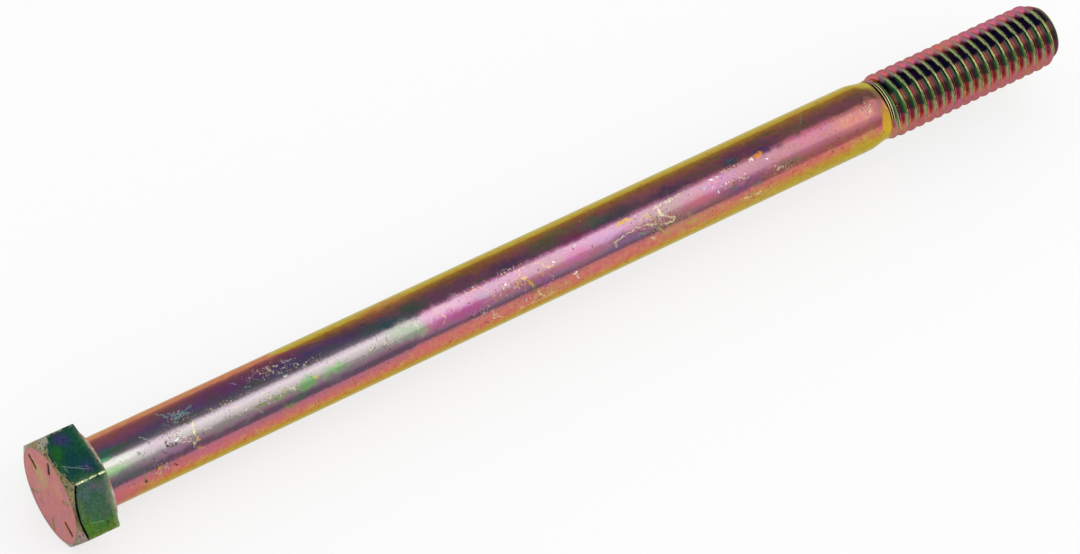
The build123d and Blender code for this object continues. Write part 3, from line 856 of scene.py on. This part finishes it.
# Single scratches and rubs, each a path of (distance along, angle), with its half width, its
# colour and its strength
shaken = roughened(tree, spot, 1.8, 1.0)
frayed = roughened(tree, shaken, 6.0, 0.5)
for path, half_width, hex_code, strength in (
    # The long curled scratch just past the middle of the bolt, and its branches
    ([
        (84.6, 110), (84.9, 119), (84.8, 126), (85.8, 134), (86.7, 140), (86.4, 144), (85.3, 142),
    ], 0.2, "d4cca4", 0.9),
    ([(85.3, 142), (82.3, 132), (80.6, 127), (78.1, 133), (76.9, 136)], 0.14, "cfc8a0", 0.85),
    ([(83.9, 112), (86.7, 111), (89.3, 107)], 0.15, "cfc8a8", 0.8),
    ([(82.4, 115), (83.6, 122)], 0.16, "c8a84c", 0.7),
    ([(83.8, 138), (84.5, 154), (85.8, 168)], 0.2, "a8a458", 0.75),
    ([(82.7, 136), (83.9, 146)], 0.12, "a0a060", 0.7),
    ([(77.8, 132), (77.2, 139), (77.2, 144)], 0.12, "c8b870", 0.8),
    ([(78.4, 110), (80.4, 110)], 0.34, "cca43c", 0.8), ([(81.0, 141), (82.2, 142)], 0.3, "708c78", 0.7),
    ([(82.6, 156), (83.0, 158)], 0.25, "d0c8a0", 0.7),
    # Gold hair lines and bare specks just before the middle
    ([(62.9, 109), (62.7, 115), (62.9, 124), (63.4, 128), (63.6, 134), (64.0, 143)], 0.17, "dcb868", 0.85),
    ([(63.2, 128), (62.9, 137)], 0.14, "d4ac58", 0.75),
    ([(62.2, 109), (62.8, 108), (64, 109)], 0.14, "e0c088", 0.7),
    ([(65.1, 111), (66.1, 114), (66.5, 119), (66.6, 124), (67.6, 127)], 0.14, "dcb880", 0.75),
    ([(65.3, 126), (66.0, 129), (65.9, 133), (65.7, 134)], 0.14, "d8a858", 0.75),
    ([(66.5, 135), (67.1, 142), (67.0, 148), (66.4, 153)], 0.12, "b8a060", 0.7),
    ([(61.7, 172), (62.8, 173), (64.6, 174)], 0.12, "e4d89c", 0.85),
    ([(62.0, 126), (61.8, 131)], 0.25, "c8a030", 0.8),
    ([(64.4, 155), (65.4, 170), (65.7, 177), (66.5, 174), (66.7, 168)], 0.13, "dcd094", 0.85),
    ([(65.7, 177), (66.3, 176), (66.8, 188)], 0.14, "a89c58", 0.7),
    ([(63.7, 133), (63.9, 143)], 0.28, "b49838", 0.8),
    ([(64.1, 143), (64.2, 153), (63.4, 153)], 0.28, "80703c", 0.6),
    ([(60.3, 121), (60.5, 121)], 0.2, "f4f0ec", 0.9), ([(67.8, 122), (67.9, 122)], 0.16, "fff8ec", 0.9),
    ([(71.6, 109), (71.7, 112)], 0.2, "c4dcc4", 0.6), ([(70.3, 154), (70.6, 154)], 0.2, "f4ece0", 0.9),
    ([(70.6, 161), (70.9, 166)], 0.22, "d8dcc0", 0.8),
    ([(68.8, 163), (68.9, 166)], 0.28, "b8a468", 0.7),
    # Short hairs on the rose stretch before them
    ([(50.5, 123), (50.6, 130), (50, 138)], 0.13, "dcbc7c", 0.8),
    ([(46.7, 113), (46.6, 121), (46.7, 130)], 0.13, "dcc8a4", 0.7),
    ([(57.5, 119), (58.2, 136)], 0.12, "c8a058", 0.7),
    ([(56.9, 111), (57.8, 119), (58.4, 131)], 0.14, "dcb064", 0.8),
    ([(54.6, 108), (56.9, 107)], 0.16, "e0b478", 0.7),
    ([(57.3, 151), (57.7, 161), (58.9, 173)], 0.15, "c4c090", 0.8),
    ([(57.2, 166), (58.6, 169)], 0.13, "e0dcac", 0.8),
    ([(56.1, 168), (56.7, 172)], 0.18, "50402c", 0.7),
    # A gold fleck on the near side
    ([(88.4, 161), (89.6, 161)], 0.34, "b0a040", 0.7),
    # The knock beside the head: dark flecks, pale curls and grey-green hairs
    ([(6.5, 96), (6.9, 100), (7.6, 107)], 0.16, "98a8a0", 0.6),
    ([(12.3, 103), (13.2, 105)], 0.35, "4c4430", 0.6),
    ([(9.4, 118), (9.1, 122), (9.2, 126), (9.6, 129)], 0.18, "301818", 0.9),
    ([(9.7, 124), (9.9, 128)], 0.2, "38201c", 0.85),
    ([(8.4, 128), (8.4, 133), (9.0, 136)], 0.14, "6c3040", 0.75),
    ([(10.4, 128), (10.5, 129)], 0.2, "3a1c2c", 0.85), ([(10.5, 123), (10.9, 123)], 0.2, "e0f4e4", 0.8),
    ([(11.1, 126), (11.6, 131), (12.3, 135)], 0.12, "ecc8b4", 0.8),
    ([(11.8, 125), (11.9, 132)], 0.12, "e4b49c", 0.8),
    ([(12.0, 135), (12.5, 131)], 0.12, "f4e0bc", 0.8),
    ([(12.5, 135), (12.7, 147)], 0.12, "c8b8c0", 0.7),
    ([(13.3, 132), (13.5, 134), (13.6, 138)], 0.24, "e0a860", 0.8),
    ([(13.6, 110), (13.3, 118), (13.2, 128)], 0.2, "e8e08c", 0.75),
    ([(12.7, 139), (13.2, 136)], 0.2, "ccd88c", 0.7),
    ([(10.8, 81), (11.9, 85), (13.0, 88), (13.6, 93)], 0.22, "688c88", 0.8),
    ([(11.6, 80), (12.1, 95)], 0.22, "688c88", 0.75), ([(10.1, 68), (10.9, 78)], 0.15, "8c98a0", 0.6),
    ([(12.4, 91), (14.6, 83)], 0.2, "64888c", 0.7), ([(9.5, 161), (9.7, 161)], 0.22, "401c1c", 0.85),
    ([(7.3, 153), (7.5, 154)], 0.26, "c8a838", 0.8), ([(7.0, 152), (7.1, 152)], 0.22, "401810", 0.85),
    ([(14.2, 131), (14.3, 131)], 0.2, "3c2430", 0.7), ([(14.5, 127), (15.7, 131)], 0.1, "ecdcd0", 0.6),
    ([(13.1, 149), (13.7, 154)], 0.26, "a8a03c", 0.6),
    ([(5.3, 149), (5.1, 160), (5.4, 170), (5.2, 181)], 0.2, "74805c", 0.6),
    ([(5.4, 117), (5.5, 118)], 0.2, "5c7464", 0.7),
    ([(8.6, 152), (8.8, 162), (8.6, 172)], 0.16, "905c30", 0.5),
    ([(5.3, 164), (5.4, 168)], 0.28, "34241c", 0.85),
    # Grey hairs and green curls on the violet stretch
    ([(24.8, 73), (24.7, 83)], 0.12, "a8a4ac", 0.7), ([(25.7, 75), (25.6, 81)], 0.12, "a0a0ac", 0.7),
    ([(26.1, 75), (26.2, 82)], 0.14, "c4bcc0", 0.7), ([(27.3, 79), (27.1, 86)], 0.12, "a4a8b4", 0.7),
    ([(28.3, 78), (28.3, 85)], 0.13, "b0acb4", 0.7), ([(28.7, 83), (29.9, 85)], 0.11, "a0b0a0", 0.7),
    ([(29.0, 91), (29.8, 95)], 0.14, "a8b494", 0.7), ([(26.9, 96), (27.4, 95)], 0.12, "a8b494", 0.6),
    ([(20.9, 78), (21.2, 82)], 0.14, "8c90a0", 0.6), ([(22.1, 93), (22.6, 97)], 0.18, "6c8c84", 0.7),
    ([(23.2, 82), (23.3, 82)], 0.13, "b8b0a8", 0.7), ([(24.1, 71), (24.5, 70)], 0.16, "8c8058", 0.6),
    ([(22.3, 130), (23.3, 129), (22.5, 138), (22.7, 142)], 0.18, "7c9448", 0.8),
    ([(27.4, 104), (27.6, 104)], 0.2, "f0f0e8", 0.8), ([(18.0, 119), (17.8, 123)], 0.1, "60505c", 0.7),
    ([(18.6, 115), (18.6, 120)], 0.1, "787078", 0.7),
    ([(19.1, 129), (19.6, 129), (20.8, 127)], 0.1, "f0c8b8", 0.8),
    ([(19.7, 112), (19.8, 117)], 0.18, "dcb49c", 0.6),
    ([(27.3, 122), (27.9, 132)], 0.18, "e8dcb8", 0.6),
    ([(31.0, 127), (31.4, 129)], 0.26, "c8b040", 0.8),
    # Flecks of bare zinc and straw on the way to the thread
    ([(101.3, 104), (102.1, 104)], 0.42, "dc9034", 0.9),
    ([(100.1, 107), (100.7, 107)], 0.17, "f0ecd0", 0.8),
    ([(102.4, 116), (102.8, 116)], 0.16, "f0ece8", 0.8),
    ([(95.4, 125), (95.5, 125)], 0.16, "f8f0ec", 0.7),
    ([(95.9, 125), (96.0, 125)], 0.15, "f8ece8", 0.7),
    ([(93.4, 122), (93.5, 122)], 0.15, "f8e8d0", 0.7),
    ([(93.9, 131), (94.0, 131)], 0.16, "f8f0ec", 0.7),
    ([(98.6, 123), (98.7, 123)], 0.15, "f8f0ec", 0.7),
    ([(94.0, 114), (94.3, 114)], 0.26, "d89c5c", 0.8),
    ([(91.8, 116), (92.5, 115)], 0.26, "a8acc0", 0.7),
    ([(93.5, 108), (94.8, 108)], 0.16, "f4e8e0", 0.85),
    ([(93.0, 114), (93.1, 114)], 0.2, "d8c458", 0.8),
    ([(97.7, 124), (98.3, 130), (99.5, 130)], 0.12, "e8d8b8", 0.8),
    ([(97.7, 131), (97.9, 131)], 0.16, "2c1820", 0.8),
    ([(96.3, 136), (96.9, 136)], 0.35, "5c7870", 0.7),
    ([(99.7, 148), (100.5, 148)], 0.25, "748458", 0.6),
    ([(105.8, 139), (106.4, 141)], 0.16, "3c4038", 0.7),
    ([(97.8, 163), (98.8, 165)], 0.16, "e8dcb0", 0.8),
    ([(99.6, 166), (100.4, 165)], 0.15, "f0e0ac", 0.85),
    ([(100.7, 176), (102.0, 181)], 0.16, "dcd080", 0.7),
    ([(101.4, 164), (102.1, 160)], 0.12, "5c3424", 0.8),
    ([(102.9, 166), (103, 166)], 0.15, "5c3c24", 0.7),
    ([(96.1, 54), (96.2, 54)], 0.13, "2c2c18", 0.8), ([(101.6, 63), (101.9, 63)], 0.14, "3c3018", 0.7),
    ([(97.4, 91), (98.2, 93)], 0.25, "3c6068", 0.7), ([(109.6, 88), (110.8, 71)], 0.16, "5c7c74", 0.5),
    ([(112.4, 153), (112.5, 154)], 0.2, "5c3c2c", 0.7),
    # The rub on the taper
    ([(119.6, 108), (120.2, 112)], 0.15, "d8dca8", 0.8),
    ([(120.0, 116), (119.8, 120)], 0.14, "e4d08c", 0.8),
    # A last hair on the rose stretch
    ([(44.5, 158), (44.8, 170)], 0.14, "b8b060", 0.5),
):
    places = [on_bolt(x, angle) for x, angle in path]
    film = tint(tree, line_mask(tree, frayed, places, half_width), film, hex_code, strength)

# Small pits in the zinc are dark. The marks are duller than the film and a touch raised, and
# where the surface turns away what it mirrors is tinted straw
pits = add(tree, "ShaderNodeTexNoise", {"Vector": spot, "Scale": 2.2, "Detail": 2.0, "Roughness": 0.4})
pits = add(tree, "ShaderNodeMapRange", {"Value": pits, "From Min": 0.31, "From Max": 0.27})
film = tint(tree, pits, film, "3a2c28", 0.6)
dulled = add(tree, "ShaderNodeMapRange", {"Value": marks, "To Min": 0.18, "To Max": 0.36})
bump = add(tree, "ShaderNodeBump", {"Height": marks, "Strength": 0.3, "Distance": 0.00003})
feed(tree, shader, {
    "Base Color": film, "Specular Tint": (0.84, 0.76, 0.53, 1.0), "Roughness": dulled, "Normal": bump,
})

# Rolled thread: green to straw crests, plum and crimson grooves, rose at the sides, and dark blue grooves
# on top that are painted shade.
# The film follows the ridge, so its colours are laid from one crest, at 0, to the next, at 1.
tree, shader, spot, along, turned = new_finish("yellow_passivated_zinc_on_rolled_thread")
grain = add(tree, "ShaderNodeTexNoise", {"Vector": spot, "Scale": 3.0, "Detail": 3.0, "Roughness": 0.7})
ragged = add(tree, "ShaderNodeMapRange", {
    "Value": grain, "From Min": 0.25, "From Max": 0.75, "To Min": -0.02, "To Max": 0.02,
})
ridge = add(tree, "ShaderNodeMath", {0: along, 1: CREST_AT}, operation="SUBTRACT")
ridge = add(tree, "ShaderNodeMath", {0: ridge, 1: PITCH}, operation="DIVIDE")
ridge = add(tree, "ShaderNodeMath", {0: ridge, 1: turned}, operation="SUBTRACT")
ridge = add(tree, "ShaderNodeMath", {0: ridge, 1: ragged}, operation="ADD")
ridge = add(tree, "ShaderNodeMath", {0: ridge}, operation="FRACT")
# The champagne lines at this flank's edges are painted highlights
flank_with_painted_highlights = [
    (0.08, "champagne"), (0.13, "champagne"), (0.16, "linen"), (0.36, "linen"),
    (0.4, "champagne"), (0.435, "champagne"),
]

# The colours across a groove, at eight places round the bolt. At most of them the flank that
# faces the bolt's end is pale with painted highlights along its edges, and the other one is dark;
# the black lines in the roots are painted shadow, and the navy grooves on top are painted shade.
groove_films = []
for groove in (
    [(0.0, "clay"), (0.12, "salmon"), (0.3, "candy"), (0.7, "candy"), (0.88, "raspberry"), (1.0, "clay")],
    [(0.0, "brown"), (0.08, "umber"), (0.14, "bordeaux"), (0.62, "bordeaux"), (0.72, "grape"),
     (0.82, "mauve"), (0.9, "clay"), (1.0, "brown")],
    [(0.0, "forest"), (0.05, "moss")] + flank_with_painted_highlights + [(0.455, "ink"), (0.52, "ink"), (0.6, "navy"),
     (0.73, "navy"), (0.81, "ink"), (0.86, "sage"), (0.94, "sage"), (1.0, "forest")],
    [(0.0, "moss"), (0.05, "sage")] + flank_with_painted_highlights + [(0.455, "ink"), (0.52, "ink"), (0.6, "navy"),
     (0.8, "navy"), (0.87, "ink"), (0.91, "sage"), (1.0, "moss")],
    [(0.0, "celadon"), (0.05, "sage")] + flank_with_painted_highlights + [(0.46, "rust"), (0.49, "garnet"),
     (0.57, "garnet"), (0.632, "mulberry"), (0.677, "heather"), (0.721, "iris"), (0.772, "lagoon"),
     (0.805, "fern"), (0.83, "ink"), (0.89, "ink"), (0.915, "sage"), (1.0, "celadon")],
    [(0.0, "moss"), (0.05, "sage")] + flank_with_painted_highlights + [(0.46, "ink"), (0.5, "5c2c28"),
     (0.56, "aubergine"), (0.632, "aubergine"), (0.677, "damson"), (0.721, "indigo"),
     (0.772, "spruce"), (0.816, "bottle"), (0.87, "bottle"), (0.9, "moss"), (1.0, "moss")],
    [(0.0, "moss"), (0.04, "sage"), (0.08, "champagne"), (0.14, "lime"), (0.18, "linen"),
     (0.36, "linen"), (0.42, "lime"), (0.46, "rust"), (0.5, "garnet"), (0.57, "9c5064"),
     (0.66, "9c4460"), (0.74, "9c4c5c"), (0.82, "clay"), (0.9, "sage"), (1.0, "moss")],
    [(0.0, "clay"), (0.1, "apricot"), (0.35, "coral"), (0.6, "coral"), (0.75, "rose"),
     (0.85, "rose"), (1.0, "clay")],
):
    groove_films.append(add(tree, "ShaderNodeValToRGB", {0: ridge}, stops=groove))
pink, wine, night, late_night, purple, dusk, crimson, rose = groove_films

# Round the bolt one groove passes into the next between two angles, which waver by up to 5 degrees
wobble = add(tree, "ShaderNodeTexNoise", {"Vector": spot, "Scale": 0.6, "Detail": 4.0})
wobble = add(tree, "ShaderNodeMapRange", {"Value": wobble, "To Min": -5.0, "To Max": 5.0})
degrees = add(tree, "ShaderNodeMath", {0: turned, 1: 360.0}, operation="MULTIPLY")
degrees = add(tree, "ShaderNodeMath", {0: degrees, 1: wobble}, operation="ADD")
film = pink
for start, end, following in (
    (54, 64, wine), (69, 78, night), (93, 98, late_night), (101, 107, purple), (120, 130, dusk),
    (143, 151, crimson), (162, 176, rose), (215, 230, crimson), (250, 262, night), (288, 296, purple),
    (318, 332, pink),
):
    change = add(tree, "ShaderNodeMapRange", {
        "Value": degrees, "From Min": start, "From Max": end,
    }, interpolation_type="SMOOTHSTEP")
    film = tint(tree, change, film, following)

# The film's thickness wavers here too, in patches about 3 mm across
iridescence = add(tree, "ShaderNodeTexNoise", {"Vector": spot, "Scale": 0.35, "Detail": 4.0})
hue = add(tree, "ShaderNodeMapRange", {
    "Value": iridescence, "From Min": 0.3, "From Max": 0.7, "To Min": 0.46, "To Max": 0.54,
})
value = add(tree, "ShaderNodeMapRange", {
    "Value": grain, "From Min": 0.25, "From Max": 0.75, "To Min": 0.75, "To Max": 1.25,
})
film = add(tree, "ShaderNodeHueSaturation", {
    "Hue": hue, "Saturation": 1.05, "Value": value, "Color": film,
})
film = lay_stains_and_sheen(tree, roughened(tree, spot, 0.5, 3.0), film, 0.3, [
    (136, 42, 4.3, 4.5, 3.0, "d07c60", 0.35),
])

# Rolling folds the metal over at the crest, and the fold keeps a dark line, broken here and there
seam = add(tree, "ShaderNodeMath", {0: ridge, 1: 0.04}, operation="SUBTRACT")
seam = add(tree, "ShaderNodeMath", {0: seam}, operation="ABSOLUTE")
seam = add(tree, "ShaderNodeMapRange", {"Value": seam, "From Min": 0.04, "From Max": 0.02})
broken = add(tree, "ShaderNodeTexNoise", {"Vector": spot, "Scale": 2.2, "Detail": 3.0})
broken = add(tree, "ShaderNodeMapRange", {"Value": broken, "From Min": 0.42, "From Max": 0.5})
seam = add(tree, "ShaderNodeMath", {0: seam, 1: broken}, operation="MULTIPLY")
film = tint(tree, seam, film, "1c2414", 0.85)

# The first turns are greener on the flank that faces the head
first_turns = patch(tree, roughened(tree, spot, 0.5, 2.0), on_bolt(124.6, 106, 4.3), 4.2, 4.2, 0.3)
on_flank = add(tree, "ShaderNodeMapRange", {
    "Value": ridge, "From Min": 0.68, "From Max": 0.74,
}, interpolation_type="SMOOTHSTEP")
off_flank = add(tree, "ShaderNodeMapRange", {
    "Value": ridge, "From Min": 0.9, "From Max": 0.86,
}, interpolation_type="SMOOTHSTEP")
on_flank = add(tree, "ShaderNodeMath", {0: on_flank, 1: off_flank}, operation="MULTIPLY")
first_turns = add(tree, "ShaderNodeMath", {0: first_turns, 1: on_flank}, operation="MULTIPLY")
film = tint(tree, first_turns, film, "2c6434", 0.6)

# Where the ridge starts, at the top of the neck, the film is crossed by thin painted highlights and painted
# shade lines
facing = patch(tree, spot, on_bolt(NECK_END + 0.7, 112, 4.4), 1.3, 4.0, 0.6)
starting = add(tree, "ShaderNodeMapRange", {
    "Value": along, "From Min": NECK_END, "From Max": NECK_END + 1.5,
})
starting = add(tree, "ShaderNodeValToRGB", {0: starting}, stops=[
    (0.0, "rust"), (0.1, "ink"), (0.18, "ink"), (0.22, "champagne"), (0.27, "ink"), (0.4, "ink"),
    (0.45, "champagne"), (0.5, "ink"), (0.65, "4c6648"), (0.8, "sage"),
])
film = tint(tree, facing, film, starting)

# The point's chamfer is darker than the thread
rim = add(tree, "ShaderNodeMapRange", {
    "Value": along, "From Min": BOLT_END - 1.2, "From Max": BOLT_END - 0.7,
})
film = tint(tree, rim, film, "2a2a20", 0.75)
feed(tree, shader, {"Base Color": film, "Specular Tint": (0.8, 0.66, 0.6, 1.0), "Roughness": 0.27})

# Sheared end of the wire, dished by the rolling: a duller gold film
tree, shader, spot, _, _ = new_finish("yellow_passivated_zinc_on_bolt_end")
mottle = add(tree, "ShaderNodeTexNoise", {"Vector": spot, "Scale": 0.8, "Detail": 4.0})
film = add(tree, "ShaderNodeValToRGB", {0: mottle}, stops=[
    (0.35, "9a8450"), (0.5, "b08068"), (0.65, "a8a078"),
])
feed(tree, shader, {"Base Color": film, "Roughness": 0.35})

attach(bolt, "root")
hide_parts("pivot_bolt")


# ---------------------------------------------------------------------------
# The studio
# A white sheet of board under the bolt, a large soft lamp above it, and a white
# room all round, which the plating mirrors.
# ---------------------------------------------------------------------------

# The bolt lies on the head's lowest flat and the end of the thread, so under it the board leans
BOARD_DROP = 0.00703
BOARD_LEAN = math.radians(0.88)

lean = Matrix.Rotation(BOARD_LEAN, 4, "Y")
floor_mesh = bmesh.new()
bmesh.ops.create_grid(floor_mesh, x_segments=1, y_segments=1, size=3.0)
bmesh.ops.rotate(floor_mesh, cent=(0, 0, 0), matrix=lean, verts=floor_mesh.verts)
bmesh.ops.translate(floor_mesh, vec=(0, 0, -BOARD_DROP), verts=floor_mesh.verts)
floor_data = bpy.data.meshes.new("white_board")
floor_mesh.to_mesh(floor_data)
floor_mesh.free()
floor = bpy.data.objects.new("white_board", floor_data)
bpy.context.scene.collection.objects.link(floor)


def seen_rays(tree):
    """1 for rays that the eye follows, straight or by way of a mirror or glass, and 0 for others."""
    rays = add(tree, "ShaderNodeLightPath", {})
    seen = rays
    for kind in ("Is Glossy Ray", "Is Transmission Ray"):
        seen = add(tree, "ShaderNodeMath", {0: seen, 1: rays.node.outputs[kind]}, operation="MAXIMUM")
    return seen


# Coated white board, matt; where it is seen it glows a little, so that it stays an even white
board = bpy.data.materials.new("matt_white_board")
board.use_nodes = True
tree = board.node_tree
tree.nodes.remove(tree.nodes["Principled BSDF"])
lit = add(tree, "ShaderNodeBsdfDiffuse", {"Color": colour("f4f4f4")})
glow = add(tree, "ShaderNodeEmission", {"Color": colour("ffffff"), "Strength": 1.0})
whiter = add(tree, "ShaderNodeMath", {0: seen_rays(tree), 1: 0.7}, operation="MULTIPLY")
surface = add(tree, "ShaderNodeMixShader", {0: whiter, 1: lit, 2: glow})
feed(tree, tree.nodes["Material Output"], {"Surface": surface})
floor_data.materials.append(board)

world = bpy.data.worlds.new("white_room")
bpy.context.scene.world = world
world.use_nodes = True
tree = world.node_tree
level = add(tree, "ShaderNodeMapRange", {"Value": seen_rays(tree), "To Min": 0.97, "To Max": 1.0})
feed(tree, tree.nodes["Background"], {"Color": colour("ffffff"), "Strength": level})

lamp_data = bpy.data.lights.new("large_softbox", "AREA")
lamp_data.shape = "RECTANGLE"
lamp_data.size = 0.62
lamp_data.size_y = 0.4
lamp_data.energy = 0.42
lamp = bpy.data.objects.new("large_softbox", lamp_data)
bpy.context.scene.collection.objects.link(lamp)
lamp.location = (0.30, -0.235, 0.50)
lamp.rotation_euler = (math.radians(25.2), 0, 0)
lamp.visible_camera = False

camera_data = bpy.data.cameras.new("product_camera")
camera_data.sensor_width = 36.0
camera_data.lens = 146.15
camera = bpy.data.objects.new("product_camera", camera_data)
bpy.context.scene.collection.objects.link(camera)
camera.location = (-0.16941, -0.25310, 0.45796)
aim = (Vector((0.0670, -0.0014, 0.0)) - camera.location).to_track_quat("-Z", "Y")
camera.rotation_mode = "QUATERNION"
camera.rotation_quaternion = aim @ Matrix.Rotation(math.radians(11.743), 3, "Z").to_quaternion()
bpy.context.scene.camera = camera

bpy.context.scene.view_settings.view_transform = "Standard"
